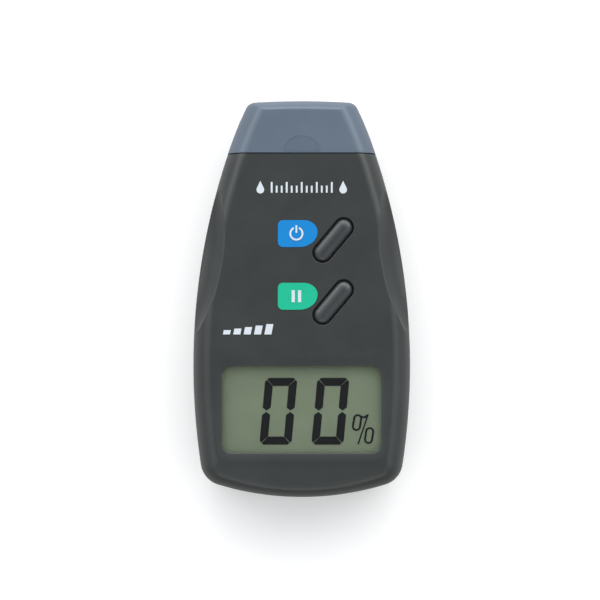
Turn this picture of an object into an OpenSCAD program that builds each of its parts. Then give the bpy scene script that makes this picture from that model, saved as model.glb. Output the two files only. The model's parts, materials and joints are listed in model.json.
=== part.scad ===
// Pocket pin-type moisture meter, lying on its back.
// Origin: middle of the back face. +Z is out of the display face, +Y is towards the pin cap.

/* [Body] */
// Overall length with the pin cap on
meter_len = 120; // [110:1:130]
// Width at the widest place
meter_w = 65.8; // [62:0.2:70]
// Overall thickness
meter_h = 28; // [28:0.5:30]
// Wall of both case halves
wall = 2; // [1.8:0.1:2.2]
// Height of the line where the case halves meet
parting_z = 13; // [12:0.5:14]
// Width, seen from the front, of the rounded shoulder along the sides
shoulder_w = 6; // [5:0.5:6.5]

/* [Cap and pins] */
// Length of the cap, from the seam to its end
cap_len = 16.2; // [15:0.1:17]
// Open seam between the case and the cap
cap_gap = 0.3; // [0.2:0.1:0.4]
// Distance between the two electrode pins
pin_pitch = 16; // [12:1:18]
// Radius of an electrode pin
pin_r = 0.8; // [0.6:0.1:1]
// Length of a pin outside the head block
pin_reach = 8; // [6:0.5:8.5]

/* [Keys] */
// Radius of the round ends of a key
key_r = 2.55; // [2.3:0.05:2.6]
// Distance between the centres of a key's round ends
key_span = 9.86; // [9:0.02:10]
// Slope of the keys across the face
key_slope = 50; // [45:1:55]
// Height of a key above the face
key_proud = 0.9; // [0.6:0.1:1.2]
// How far a key goes down
key_travel = 0.4; // [0.3:0.05:0.4]

/* [Display] */
// Width of the window
window_w = 47.7; // [46:0.1:48]
// Height of the window
window_h = 26; // [24:0.1:26]
// Height of a digit
digit_h = 20; // [18:0.5:20]
// Width of a digit
digit_w = 9.6; // [9:0.1:10]
// Width of a digit's strokes
stroke_w = 2.4; // [2:0.1:2.6]

/* [Hidden] */
$fn = 48;
half_len = meter_len / 2;
seam_y = half_len - cap_len - cap_gap / 2;

// Plan outline: one long arc per side, a shallow arc across the end, round corners
side_r = 200;
widest_y = -20;
end_r = 87;
corner_r = 7.5;
side_n = 9;
corner_n = 6;
end_n = 6;
side_c = [meter_w / 2 - side_r, widest_y];
end_c = [0, -half_len + end_r];
corner_c = meet(side_c, side_r - corner_r, end_c, end_r - corner_r);
corner_a0 = heading(side_c, corner_c);
corner_a1 = heading(end_c, corner_c);

// Cap outline
cap_side_r = 115;
cap_side_a = 18;
cap_half_w = 22.45;
cap_end_r = 240;
cap_corner_r = 3.2;
cap_y0 = seam_y + cap_gap;
cap_side_c = [cap_half_w - cap_side_r * cos(cap_side_a), cap_y0 - cap_side_r * sin(cap_side_a)];
cap_end_c = [0, half_len - cap_end_r];
cap_n = 4;
dish_r = 5.75;
dish_back = 0.85;
dish_slope = 5;
dish_far_depth = 0.03;

// Section through a side wall: quarter ellipses above and below the parting line
front_drop = meter_h - parting_z;
front_n = 8;
back_round_w = 3.5;
back_round_h = 8;
back_n = 4;
front_wall = 1.8;
ceiling_z = meter_h - front_wall;
floor_z = 2;
cap_end_round = 3.2;

// Grip scoops in the sides of the front case
scoop_c = [93.9, 22.2];
scoop_r = 70.6;
scoop_w = 8.6;
scoop_h = 14;
scoop_n = 10;
scoop_wall = 1.7;

// Face below the window, which slopes away to the end
slope_y = -49.6;
slope_a = 14;

// Lip between the case halves
lip_h = 1.2;
lip_out = 1.05;
lip_gap = 0.1;

// Display stack
window_y = -33.05;
window_corner = 2.9;
pocket_w = 50.6;
pocket_h = 31.6;
lens_t = 0.8;
lens_z = 26.4;
lens_top = lens_z + lens_t;
glass_t = 0.7;
glass_w = 49.2;
front_glass_h = 29.8;
rear_glass_h = 25.4;
front_glass_z = 25.4;
rear_glass_z = front_glass_z - glass_t;
digits_z = front_glass_z + glass_t;
digits_t = 0.08;
film_t = 0.2;
digit_x = [-7, 8.6];
digit_y = -33.6;
digit_slant = 5.2;
segment_gap = 0.15;
percent_lean = 9;
percent_ring = [2.7, 5];
percent_at = [[16.6, -37], [20.2, -40.9]];

// Main board
board_t = 1.2;
board_z = 21.6;
board_top = board_z + board_t;
board_low_y = -49.4;
board_step_y = -15;
board_high_y = 33.6;
board_low_w = 50.4;
board_high_w = 40;
board_screw_at = [[18.5, -11.2], [-18.5, -11.2], [15.5, 29.6], [-15.5, 29.6]];

// Screws that hold the case together
case_screw_at = [[19.8, -52], [-19.8, -52], [18.2, 36.4], [-18.2, 36.4]];
case_screw_r = 1.15;
case_boss_r = 2.3;
case_boss_core_r = 1.7;
case_boss_top = 25.2;
rear_boss_r = 3.2;
screw_head_r = 2.4;
screw_head_z = 1;
screw_head_h = 1.6;
case_screw_top = 22;

// Keys and their switches
key_at = [[9.4, 17.7], [9.4, -0.9]];
slot_gap = 0.5;
flange_extra = 1.3;
flange_t = 0.6;
flange_z = 25.35;
switch_size = 6.2;
switch_h = 2;
switch_bore_r = 1.7;
plunger_r = 1.5;
plunger_z = 23.6;

// Battery bay, door and battery
bay_half_w = 13.6;
bay_wall = 1.2;
bay_y0 = -53.6;
bay_y1 = 0.4;
bay_top = 20.2;
rail_z = 3.4;
rail_half_w = 17.6;
rail_y1 = 5.2;
door_half_w = 14.3;
door_t = 2;
door_y1 = 2.4;
door_play = 0.3;
tongue_w = 1.4;
tongue_t = 0.9;
battery = [26.2, 46.4, 17.2];
battery_y0 = -53.2;
battery_z0 = 2.5;
stud_h = 2.2;
stud_x = 6.35;
battery_mid_z = battery_z0 + battery.z / 2;
stud_y = battery_y0 + battery.y;

// Head block that carries the pins
head_mid_z = 14;
neck_half_w = 15;
neck_half_h = 6;
neck_len = 4;
neck_play = 0.2;
flange_half_w = 16.4;
flange_half_h = 7.2;
head_y0 = 39.2;
socket_r = 2.2;
neck_y1 = seam_y + neck_len;
pin_y1 = neck_y1 + pin_reach;
pin_tip = 3;

// Print on the face
print_t = 0.12;
tag_at = [[-1.2, 19.65], [-1.2, 0.88]];
tag_w = 11.9;
tag_h = 8.05;
tag_corner = 1.5;
tag_nose_up = [4.1, 3.5];
tag_nose_low = 5.4;
title_y = 33.5;
gauge_at = [-23.6, -9];

// ---- geometry helpers ----

function unit(v) = v / norm(v);

// Direction from a to b, in degrees
function heading(a, b) = atan2(b.y - a.y, b.x - a.x);

// The meeting point of two circles that lies on the outer right side, towards the end of the body
function meet(c1, r1, c2, r2) =
    let (d = norm(c2 - c1), a = (r1 * r1 - r2 * r2 + d * d) / (2 * d), h = sqrt(r1 * r1 - a * a),
        u = (c2 - c1) / d)
    c1 + a * u + h * [u.y, -u.x];

// The meeting point of two circles on the other side of the line between them
function meet_up(c1, r1, c2, r2) =
    let (d = norm(c2 - c1), a = (r1 * r1 - r2 * r2 + d * d) / (2 * d), h = sqrt(r1 * r1 - a * a),
        u = (c2 - c1) / d)
    c1 + a * u - h * [u.y, -u.x];

// Points on an arc, without its first point when skip is 1
function arc(c, r, a0, a1, n, skip = 0) =
    [for (i = [skip : n]) let (a = a0 + (a1 - a0) * i / n) c + r * [cos(a), sin(a)]];

// Adds the mirror image of a right-hand half, whose last point is on the middle line
function both_sides(right) =
    concat(right, [for (i = [len(right) - 2 : -1 : 0]) [-right[i].x, right[i].y]]);

// Body outline, set in by d and cut straight at top_y
function body_outline(d = 0, top_y = seam_y) =
    both_sides(concat(
        arc(side_c, side_r - d, asin((top_y - widest_y) / (side_r - d)), corner_a0, side_n),
        arc(corner_c, corner_r - d, corner_a0, corner_a1, corner_n, 1),
        arc(end_c, end_r - d, corner_a1, -90, end_n, 1)));

// Cap outline, set in by d at the sides and by e at the end
function cap_outline(d = 0, e = 0, start_y = cap_y0) =
    let (r = max(cap_corner_r - (d + e) / 2, 0.8), sr = cap_side_r - d, er = cap_end_r - e,
        c = meet_up(cap_side_c, sr - r, cap_end_c, er - r),
        a0 = heading(cap_side_c, c), a1 = heading(cap_end_c, c))
    let (up = both_sides(concat(
        arc(cap_side_c, sr, asin((start_y - cap_side_c.y) / sr), a0, cap_n),
        arc(c, r, a0, a1, cap_n, 1),
        arc(cap_end_c, er, a1, 90, cap_n, 1))))
    [for (i = [len(up) - 1 : -1 : 0]) up[i]];

// Section points [inset, height]: the rounded back edge, then the shoulder up to the face
back_section = [for (i = [0 : back_n]) let (t = 90 - 90 * i / back_n)
    [back_round_w * (1 - cos(t)), back_round_h * (1 - sin(t))]];
front_section = [for (i = [0 : front_n]) let (t = 90 * i / front_n)
    [shoulder_w * (1 - cos(t)), parting_z + front_drop * sin(t)]];
// The same for the hollow inside
inner_section = [for (t = [0, 30, 50, 65, 80])
    [wall + (shoulder_w - 0.4) * (1 - cos(t)), parting_z + (ceiling_z - parting_z) * sin(t)]];
ceiling_inset = inner_section[len(inner_section) - 1].x + 0.3;

// Skin through a list of rings, each a list of points at one height
module skin(rings, heights) {
    n = len(rings[0]);
    last = len(rings) - 1;
    points = [for (k = [0 : last]) for (p = rings[k]) [p.x, p.y, heights[k]]];
    sides = [for (k = [0 : last - 1]) for (i = [0 : n - 1]) let (j = (i + 1) % n, lo = k * n, hi = lo + n)
        each [[lo + i, lo + j, hi + j], [lo + i, hi + j, hi + i]]];
    ends = [[for (i = [n - 1 : -1 : 0]) i], [for (i = [0 : n - 1]) last * n + i]];
    polyhedron(points, concat(sides, ends));
}

module body_skin(section, top_y = seam_y) {
    skin([for (s = section) body_outline(s.x, top_y)], [for (s = section) s.y]);
}

module body_prism(d, z0, z1, top_y = seam_y) {
    translate([0, 0, z0]) linear_extrude(z1 - z0) polygon(body_outline(d, top_y));
}

module box(low, high) {
    translate(low) cube(high - low);
}

// Box placed by the middle of its bottom face
module block(at, size) {
    translate([at.x - size.x / 2, at.y - size.y / 2, at.z]) cube(size);
}

module rod(at, r, z0, z1) {
    translate([at.x, at.y, z0]) cylinder(r = r, h = z1 - z0);
}

// Rod along Y
module rod_y(x, z, r, y0, y1) {
    translate([x, y0, z]) rotate([-90, 0, 0]) cylinder(r = r, h = y1 - y0);
}

module rounded_rect(w, h, r) {
    square([w - 2 * r, h], center = true);
    square([w, h - 2 * r], center = true);
    for (x = [-1, 1], y = [-1, 1]) translate([x * (w / 2 - r), y * (h / 2 - r)]) circle(r);
}

module plate(w, h, r, z0, z1, y = window_y) {
    translate([0, y, z0]) linear_extrude(z1 - z0) rounded_rect(w, h, r);
}

// Slot with round ends
module capsule(r, span) {
    square([span, 2 * r], center = true);
    for (x = [-1, 1]) translate([x * span / 2, 0]) circle(r);
}

module key_prism(at, r, z0, z1) {
    translate([at.x, at.y, z0]) rotate([0, 0, key_slope]) linear_extrude(z1 - z0) capsule(r, key_span);
}

// Grip scoop on one side; grow makes it larger all round
module scoop(side, grow = 0) {
    profile = concat([[0, meter_h + 1], [scoop_r + grow, meter_h + 1]],
        [for (i = [0 : scoop_n]) let (a = 90 * i / scoop_n)
            [scoop_r - scoop_w + (scoop_w + grow) * cos(a), meter_h - (scoop_h + grow) * sin(a)]],
        [[0, meter_h - scoop_h - grow]]);
    translate([side * scoop_c.x, scoop_c.y, 0]) rotate_extrude($fn = 180) polygon(profile);
}

// Wire along a list of points that never runs along X
module wire(path, r) {
    sides = 8;
    last = len(path) - 1;
    rings = [for (i = [0 : last]) let (t = unit(path[min(i + 1, last)] - path[max(i - 1, 0)]),
        u = unit(cross(t, [1, 0, 0])), v = cross(t, u))
        [for (k = [0 : sides - 1]) path[i] + r * (cos(360 * k / sides) * u + sin(360 * k / sides) * v)]];
    walls = [for (i = [0 : last - 1]) for (k = [0 : sides - 1]) let (j = (k + 1) % sides, lo = i * sides,
        hi = lo + sides) each [[lo + k, hi + j, lo + j], [lo + k, hi + k, hi + j]]];
    ends = [[for (k = [0 : sides - 1]) k], [for (k = [sides - 1 : -1 : 0]) last * sides + k]];
    polyhedron([for (ring = rings) each ring], concat(walls, ends));
}

// ---- case ----

module front_case() {
    color([0.235, 0.255, 0.255]) difference() {
        union() {
            difference() {
                body_skin(front_section);
                body_slope();
                for (s = [-1, 1]) scoop(s);
                difference() {
                    union() {
                        body_skin(inner_section, seam_y - wall);
                        body_prism(ceiling_inset, parting_z + 1, ceiling_z, seam_y - wall - 0.1);
                    }
                    for (s = [-1, 1]) scoop(s, scoop_wall);
                }
                // groove for the rear case's lip
                difference() {
                    body_prism(lip_out - lip_gap, parting_z - 1, parting_z + lip_h + 0.2, seam_y - lip_out);
                    for (s = [-1, 1]) scoop(s, scoop_wall);
                }
            }
            for (at = case_screw_at) {
                rod(at, case_boss_r, parting_z + 0.4, case_boss_top);
                rod(at, case_boss_core_r, parting_z + 1, ceiling_z + 0.3);
            }
            for (at = board_screw_at) rod(at, 2.3, board_top, ceiling_z + 0.3);
        }
        for (at = case_screw_at) rod(at, case_screw_r + 0.02, parting_z, case_screw_top + 1);
        for (at = board_screw_at) rod(at, 0.82, board_top - 1, ceiling_z - 0.4);
        plate(pocket_w, pocket_h, 2.4, board_top - 0.4, lens_top + 0.05);
        plate(window_w, window_h, window_corner, lens_top, meter_h + 1);
        for (at = key_at) key_prism(at, key_r + slot_gap, ceiling_z - 1, meter_h + 1);
        neck_hole(neck_play);
    }
}

// Takes off the face below the window
module body_slope() {
    translate([0, slope_y, meter_h]) rotate([slope_a, 0, 0]) box([-40, -20, 0], [40, 0, 10]);
}

module neck_hole(play) {
    box([-neck_half_w - play, seam_y - wall - 1, head_mid_z - neck_half_h - play],
        [neck_half_w + play, seam_y + 1, head_mid_z + neck_half_h + play]);
}

module rear_case() {
    color([0.22, 0.24, 0.24]) difference() {
        union() {
            difference() {
                body_skin(concat(back_section, [[0, parting_z]]));
                difference() {
                    body_prism(wall + 1.2, floor_z, 5, seam_y - wall);
                    box([-rail_half_w, -half_len, 0], [rail_half_w, rail_y1, rail_z]);
                }
                body_prism(wall, 5, parting_z + 1, seam_y - wall);
            }
            difference() {
                body_prism(lip_out, parting_z - 0.5, parting_z + lip_h, seam_y - lip_out);
                body_prism(wall, parting_z - 1, parting_z + lip_h + 1, seam_y - wall);
                box([-flange_half_w - 1, seam_y - 6, 0], [flange_half_w + 1, seam_y, meter_h]);
                for (s = [-1, 1]) scoop(s, scoop_wall + 0.1);
            }
            for (at = case_screw_at) rod(at, rear_boss_r, floor_z - 0.5, parting_z + 0.3);
            box([-bay_half_w - bay_wall, bay_y0 - bay_wall, floor_z], [bay_half_w + bay_wall,
                bay_y1 + bay_wall, bay_top + 1]);
        }
        for (at = case_screw_at) {
            rod(at, case_screw_r + 0.25, -1, parting_z + 1);
            rod(at, screw_head_r + 0.3, -1, screw_head_z + screw_head_h);
        }
        box([-bay_half_w, bay_y0, -1], [bay_half_w, bay_y1, bay_top]);
        // way out for the battery leads
        box([-7, bay_y1 - 1, 11], [7, bay_y1 + bay_wall + 1, bay_top]);
        door_channel();
        neck_hole(neck_play);
    }
}

module door_channel() {
    w = door_half_w + door_play;
    top = door_t + door_play;
    box([-w, -half_len - 1, -1], [w, door_y1 + door_play, top]);
    box([-w - tongue_w, -half_len - 1, door_t - tongue_t - door_play],
        [w + tongue_w, door_y1 + door_play, top]);
}

module battery_door() {
    color([0.22, 0.24, 0.24]) difference() {
        union() {
            intersection() {
                body_skin(concat(back_section, [[0, parting_z]]));
                box([-door_half_w, -half_len - 1, -1], [door_half_w, door_y1, door_t]);
            }
            for (s = [-1, 1]) block([s * (door_half_w + tongue_w / 2 - 0.2), -26.8, door_t - tongue_t],
                [tongue_w + 0.2, 58.4, tongue_t]);
        }
        // thumb grooves
        for (i = [0 : 5]) translate([0, -48 + 2.2 * i, 0]) rotate([0, 90, 0])
            cylinder(r = 0.6, h = 16, center = true, $fn = 24);
    }
}

module bay_pad() {
    color([0.12, 0.12, 0.13]) box([-9, battery_y0 + 8, battery_z0 + battery.z],
        [9, battery_y0 + 38, bay_top]);
}

module case_screws() {
    color("silver") for (at = case_screw_at) difference() {
        union() {
            rod(at, screw_head_r, screw_head_z, screw_head_z + screw_head_h);
            rod(at, case_screw_r, screw_head_z, case_screw_top);
        }
        for (a = [0, 90]) translate([at.x, at.y, screw_head_z]) rotate([0, 0, a])
            cube([3, 0.6, 1.6], center = true);
    }
}

// ---- head, pins and cap ----

module head_block() {
    color([0.1, 0.1, 0.11]) difference() {
        union() {
            box([-flange_half_w, head_y0, head_mid_z - flange_half_h],
                [flange_half_w, seam_y - wall - 0.1, head_mid_z + flange_half_h]);
            box([-neck_half_w, head_y0 + 1, head_mid_z - neck_half_h], [neck_half_w, neck_y1,
                head_mid_z + neck_half_h]);
        }
        for (s = [-1, 1]) rod_y(s * pin_pitch / 2, head_mid_z, socket_r, head_y0 - 1, neck_y1 + 1);
    }
}

module pin_sockets() {
    color("goldenrod") for (s = [-1, 1]) difference() {
        union() {
            rod_y(s * pin_pitch / 2, head_mid_z, socket_r, head_y0, neck_y1 + 0.2);
            rod_y(s * pin_pitch / 2, head_mid_z, socket_r + 0.9, neck_y1, neck_y1 + 0.5);
        }
        rod_y(s * pin_pitch / 2, head_mid_z, pin_r, head_y0 + 1, neck_y1 + 2);
    }
}

module pin_at(side) {
    color("gainsboro") translate([side * pin_pitch / 2, head_y0 + 1, head_mid_z]) rotate([-90, 0, 0]) {
        cylinder(r = pin_r, h = pin_y1 - pin_tip - head_y0 - 1);
        translate([0, 0, pin_y1 - pin_tip - head_y0 - 1]) cylinder(r1 = pin_r, r2 = 0.1, h = pin_tip);
    }
}

module left_pin() { pin_at(-1); }
module right_pin() { pin_at(1); }

cap_section = concat(
    [for (s = back_section) [s.x, s.x * cap_end_round / back_round_w, s.y]],
    [for (s = front_section) [s.x, s.x * cap_end_round / shoulder_w, s.y]]);
cap_hollow = [[wall + 1.6, wall + 1.2, 2.2], [wall, wall, 5], [wall, wall, parting_z],
    [wall + 0.8, wall + 0.4, 20], [wall + 2.4, wall + 1, 24], [wall + 5, wall + 2, 26]];

module pin_cap() {
    color([0.38, 0.44, 0.5]) difference() {
        union() {
            difference() {
                skin([for (s = cap_section) cap_outline(s.x, s.y)], [for (s = cap_section) s.z]);
                skin([for (s = cap_hollow) cap_outline(s.x, s.y, cap_y0 - 1)], [for (s = cap_hollow) s.z]);
            }
            // ribs that grip the neck
            for (x = [-9, -3, 3, 9]) {
                box([x - 0.6, cap_y0 + 0.6, 1], [x + 0.6, neck_y1, head_mid_z - neck_half_h - 0.15]);
                box([x - 0.6, cap_y0 + 0.6, head_mid_z + neck_half_h + 0.15], [x + 0.6, neck_y1, 27]);
            }
        }
        thumb_dish();
    }
}

// Round dish that runs off the cap's seam edge, deepest at the seam
module thumb_dish() {
    translate([0, cap_y0 - dish_back, meter_h]) rotate([dish_slope, 0, 0])
        translate([0, 0, -dish_r * sin(dish_slope) - dish_far_depth]) cylinder(r = dish_r, h = 3);
}

// ---- display ----

module display_window() {
    color([0.8, 0.85, 0.82, 0.35]) plate(pocket_w - 0.3, pocket_h - 0.3, 2.2, lens_z, lens_top);
}

module lcd_front_glass() {
    color([0.45, 0.49, 0.42, 0.6]) plate(glass_w, front_glass_h, 0.4, front_glass_z, digits_z);
}

module lcd_rear_glass() {
    color([0.45, 0.49, 0.42]) plate(glass_w, rear_glass_h, 0.4, rear_glass_z, front_glass_z);
}

module lcd_reflector() {
    color([0.6, 0.63, 0.57]) plate(glass_w - 1.2, rear_glass_h - 1, 0.4, rear_glass_z - film_t, rear_glass_z);
}

module lcd_frame() {
    color([0.16, 0.16, 0.17]) difference() {
        plate(pocket_w - 0.3, pocket_h - 0.3, 2.2, board_top, digits_z + 0.1);
        plate(glass_w + 0.2, front_glass_h + 0.2, 0.5, board_top - 1, digits_z + 1);
    }
}

module contact_strips() {
    color("dimgray") for (s = [-1, 1])
        block([0, window_y + s * (front_glass_h + rear_glass_h) / 4, board_top],
            [glass_w - 3, 1.7, front_glass_z - board_top]);
}

// One zero out of six segments, leaning by the slant
module zero(at) {
    w = digit_w / 2;
    h = digit_h / 2;
    s = stroke_w;
    g = segment_gap / 2;
    c = 1.1;
    top = [[-w + c, h], [w - c, h], [w - c / 2 - g, h - c / 2 + g], [w - s - g, h - s], [-w + s + g, h - s],
        [-w + c / 2 + g, h - c / 2 + g]];
    upper = [[w, h - c - g], [w, 1.1], [w - s / 2, 0.2], [w - s, 1.1], [w - s, h - s - g],
        [w - c / 2 + g, h - c / 2 - g]];
    for (sx = [-1, 1], sy = [-1, 1]) segment(at, [for (p = upper) [p.x * sx, p.y * sy]]);
    for (sy = [-1, 1]) segment(at, [for (p = top) [p.x, p.y * sy]]);
}

module segment(at, points) {
    translate([at.x, at.y, digits_z]) linear_extrude(digits_t)
        polygon([for (p = points) [p.x + p.y * tan(digit_slant), p.y]]);
}

// Tall thin percent sign: a ring each side of a leaning bar, and a hook from one ring to the bar
module percent_sign() {
    for (c = percent_at) translate([c.x, c.y, digits_z]) rotate([0, 0, -percent_lean])
        linear_extrude(digits_t) difference() {
            rounded_rect(percent_ring.x, percent_ring.y, percent_ring.x / 2 - 0.05);
            rounded_rect(percent_ring.x - 1.2, percent_ring.y - 1.1, percent_ring.x / 2 - 0.65);
        }
    translate([0, 0, digits_z]) linear_extrude(digits_t)
        polygon([[16.65, -43.5], [17.15, -43.5], [20.15, -34.5], [19.75, -34.5], [18.6, -35.2], [17.3, -34.7],
            [17.2, -35.2], [18.6, -35.75], [19.35, -35.6]]);
}

module lcd_digits() {
    color([0.1, 0.1, 0.11]) {
        for (x = digit_x) zero([x, digit_y]);
        percent_sign();
    }
}

// ---- board ----

module main_board() {
    color([0.1, 0.35, 0.2]) difference() {
        translate([0, 0, board_z]) linear_extrude(board_t) polygon(both_sides([
            [board_high_w / 2 - 4, board_high_y], [board_high_w / 2, board_high_y - 6],
            [board_high_w / 2, board_step_y + 2], [board_high_w / 2 + 2, board_step_y],
            [board_low_w / 2, board_step_y], [board_low_w / 2, board_low_y + 3],
            [board_low_w / 2 - 3, board_low_y], [0, board_low_y]]));
        for (at = board_screw_at) rod(at, 1.1, board_z - 1, board_top + 1);
    }
}

module board_screws() {
    color("silver") for (at = board_screw_at) difference() {
        union() {
            rod(at, 1.7, board_z - 1.1, board_z);
            rod(at, 0.8, board_z - 0.5, ceiling_z - 0.8);
        }
        for (a = [0, 90]) translate([at.x, at.y, board_z - 1.1]) rotate([0, 0, a])
            cube([2.2, 0.45, 0.9], center = true);
    }
}

controller_at = [-8.6, 5.2];
controller_w = 10;
amplifier_at = [-10.5, 23.4];
amplifier_size = [5, 4];
chip_z = board_top + 0.1;

module controller_chip() {
    color([0.13, 0.13, 0.14]) difference() {
        block([controller_at.x, controller_at.y, chip_z], [controller_w, controller_w, 1.4]);
        rod(controller_at - [3.8, 3.8], 0.5, chip_z + 1.3, chip_z + 2);
    }
}

module amplifier_chip() {
    color([0.13, 0.13, 0.14]) block([amplifier_at.x, amplifier_at.y, chip_z],
        [amplifier_size.x, amplifier_size.y, 1.4]);
}

// A row of flat legs, n of them, from a chip's side
module legs(at, n, pitch, reach, angle) {
    translate([at.x, at.y, board_top]) rotate([0, 0, angle]) for (i = [0 : n - 1])
        translate([reach, (i - (n - 1) / 2) * pitch - 0.15, 0]) cube([1.1, 0.3, 0.55]);
}

module chip_legs() {
    color("silver") {
        for (a = [0, 90, 180, 270]) legs(controller_at, 11, 0.8, controller_w / 2, a);
        for (a = [90, 270]) legs(amplifier_at, 4, 1.27, amplifier_size.y / 2, a);
    }
}

module resistors() {
    color([0.1, 0.1, 0.12]) {
        for (i = [0 : 5]) block([-18 + 2.6 * i, 15.6, board_top], [1.2, 2, 0.55]);
        for (i = [0 : 4]) block([17.6, -4.6 + 2.6 * i, board_top], [2, 1.2, 0.55]);
        for (i = [0 : 3]) block([3.4, 21 + 2.2 * i, board_top], [2, 1.2, 0.55]);
    }
}

module ceramic_capacitors() {
    color([0.62, 0.5, 0.36]) {
        for (i = [0 : 3]) block([-17.6, -3 + 3.2 * i, board_top], [1.25, 2, 0.9]);
        for (i = [0 : 2]) block([-5 + 2.6 * i, 30.6, board_top], [1.25, 2, 0.9]);
        for (i = [0 : 1]) block([6 + 3 * i, 30.8, board_top], [2, 1.25, 0.9]);
    }
}

module filter_capacitors() {
    color([0.12, 0.14, 0.3]) for (at = [[-13.5, 8], [-13.5, 15.5]]) rod(at, 2.5, board_z - 7, board_z);
}

trimmer_at = [11, 22];
trimmer_size = [6.6, 6.6, 4.6];
trimmer_low_z = board_z - trimmer_size.z;

module trimmer() {
    color([0.15, 0.3, 0.65]) difference() {
        block([trimmer_at.x, trimmer_at.y, trimmer_low_z], trimmer_size);
        rod(trimmer_at, 1.6, trimmer_low_z - 1, trimmer_low_z + 1.6);
    }
}

module trimmer_screw() {
    color("gold") difference() {
        rod(trimmer_at, 1.5, trimmer_low_z + 0.2, trimmer_low_z + 1.6);
        block([trimmer_at.x, trimmer_at.y, trimmer_low_z - 0.5], [2.4, 0.5, 1.2]);
    }
}

module crystal() {
    color("silver") translate([0, 0, board_z - 3.5]) linear_extrude(3.5) translate([4, 12])
        capsule(2.3, 6);
}

// ---- keys ----

module key(at) {
    color([0.2, 0.21, 0.21]) {
        key_prism(at, key_r, flange_z, meter_h + key_proud - 0.5);
        key_prism(at, key_r - 0.5, flange_z, meter_h + key_proud);
        key_prism(at, key_r + flange_extra, flange_z, flange_z + flange_t);
    }
}

module power_key() { key(key_at[0]); }
module hold_key() { key(key_at[1]); }

module tact_switch(at) {
    color([0.18, 0.18, 0.19]) difference() {
        block([at.x, at.y, board_top], [switch_size, switch_size, switch_h]);
        rod(at, switch_bore_r, plunger_z - key_travel - 0.2, board_top + switch_h + 1);
    }
}

module power_switch() { tact_switch(key_at[0]); }
module hold_switch() { tact_switch(key_at[1]); }

module plunger(at) {
    color([0.75, 0.72, 0.65]) rod(at, plunger_r, plunger_z, flange_z);
}

module power_plunger() { plunger(key_at[0]); }
module hold_plunger() { plunger(key_at[1]); }

// ---- battery ----

module battery_block() {
    color([0.15, 0.15, 0.17]) translate([0, battery_y0, battery_mid_z]) rotate([-90, 0, 0])
        linear_extrude(battery.y) rounded_rect(battery.x, battery.z, 1.5);
}

module battery_studs() {
    color("silver") {
        rod_y(-stud_x, battery_mid_z, 2.9, stud_y, stud_y + stud_h);
        difference() {
            rod_y(stud_x, battery_mid_z, 3.9, stud_y, stud_y + stud_h);
            rod_y(stud_x, battery_mid_z, 3, stud_y + 0.4, stud_y + 3);
        }
    }
}

module snap_connector() {
    color([0.1, 0.1, 0.1]) difference() {
        translate([0, stud_y + 0.2, battery_mid_z]) rotate([-90, 0, 0]) linear_extrude(3.6)
            rounded_rect(25, 12.4, 5);
        for (s = [-1, 1]) rod_y(s * stud_x, battery_mid_z, 4.3, stud_y - 1, stud_y + 2.6);
    }
}

module snap_contacts() {
    color("silver") for (s = [-1, 1]) difference() {
        rod_y(s * stud_x, battery_mid_z, 4.25, stud_y + 0.5, stud_y + 1.5);
        rod_y(s * stud_x, battery_mid_z, s < 0 ? 2.95 : 3.95, stud_y, stud_y + 3);
    }
}

// Leads from the snap connector, over the bay's end wall and up to the board
snap_back_y = stud_y + 3.86;
lead_end_z = board_z - 0.12;
red_path = [[-4, snap_back_y, 13], [-4, -1.6, 13.2], [-3.6, -0.2, 14.2], [-2.8, 1.8, 16], [-2.4, 3.6, 17.2],
    [-2.2, 4.8, 18.8], [-2.2, 5.2, lead_end_z]];
black_path = [[4, snap_back_y, 13], [4, -1.6, 13.2], [3.2, -0.2, 14], [1.8, 1.8, 15.6], [0.9, 3.6, 16.8],
    [0.6, 4.8, 18.6], [0.6, 5.2, lead_end_z]];
electrode_path = [[8, head_y0 - 0.12, 14], [7.8, 37, 14.4], [7.4, 34.6, 15.8], [7, 32.8, 18], [6.8, 31.6, 20],
    [6.8, 31.2, lead_end_z]];

module red_lead() { color("firebrick") wire(red_path, 0.65); }
module black_lead() { color([0.08, 0.08, 0.08]) wire(black_path, 0.65); }

module electrode_leads() {
    color("whitesmoke") for (s = [-1, 1]) wire([for (p = electrode_path) [p.x * s, p.y, p.z]], 0.55);
}

// ---- print on the face ----

// Tag with a straight left side and a nose on the right, whose tip is above the middle
function tag_points() =
    let (left = -tag_w / 2, right = tag_w / 2, top = tag_h / 2, low = -tag_h / 2, tip = top - tag_nose_up.y)
    concat(
        ellipse_arc([left + tag_corner, low + tag_corner], [tag_corner, tag_corner], 270, 180),
        ellipse_arc([left + tag_corner, top - tag_corner], [tag_corner, tag_corner], 180, 90),
        ellipse_arc([right - tag_nose_up.x, tip], tag_nose_up, 90, 0),
        ellipse_arc([right - tag_nose_low, tip], [tag_nose_low, tip - low], 0, -90, 1));

function ellipse_arc(c, size, a0, a1, skip = 0) =
    [for (i = [skip : 8]) let (a = a0 + (a1 - a0) * i / 8) c + [size.x * cos(a), size.y * sin(a)]];

module tag(at) {
    translate([at.x, at.y, meter_h]) linear_extrude(print_t) polygon(tag_points());
}

module power_tag() { color([0.14, 0.53, 0.82]) tag(tag_at[0]); }
module hold_tag() { color([0.18, 0.75, 0.59]) tag(tag_at[1]); }

module on_tag(at) {
    color("white") translate([at.x - 0.4, at.y, meter_h + print_t]) linear_extrude(print_t) children();
}

// Broken ring with a bar
module power_icon() {
    on_tag(tag_at[0]) {
        difference() {
            circle(2.1);
            circle(1.55);
            translate([0, 2]) square([1.5, 2.4], center = true);
        }
        translate([0, 1.35]) square([0.55, 2.3], center = true);
    }
}

// Two bars, the common sign for a frozen reading
module hold_icon() {
    on_tag(tag_at[1]) for (x = [-0.95, 0.95]) translate([x, 0]) square([1, 3.6], center = true);
}

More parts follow.
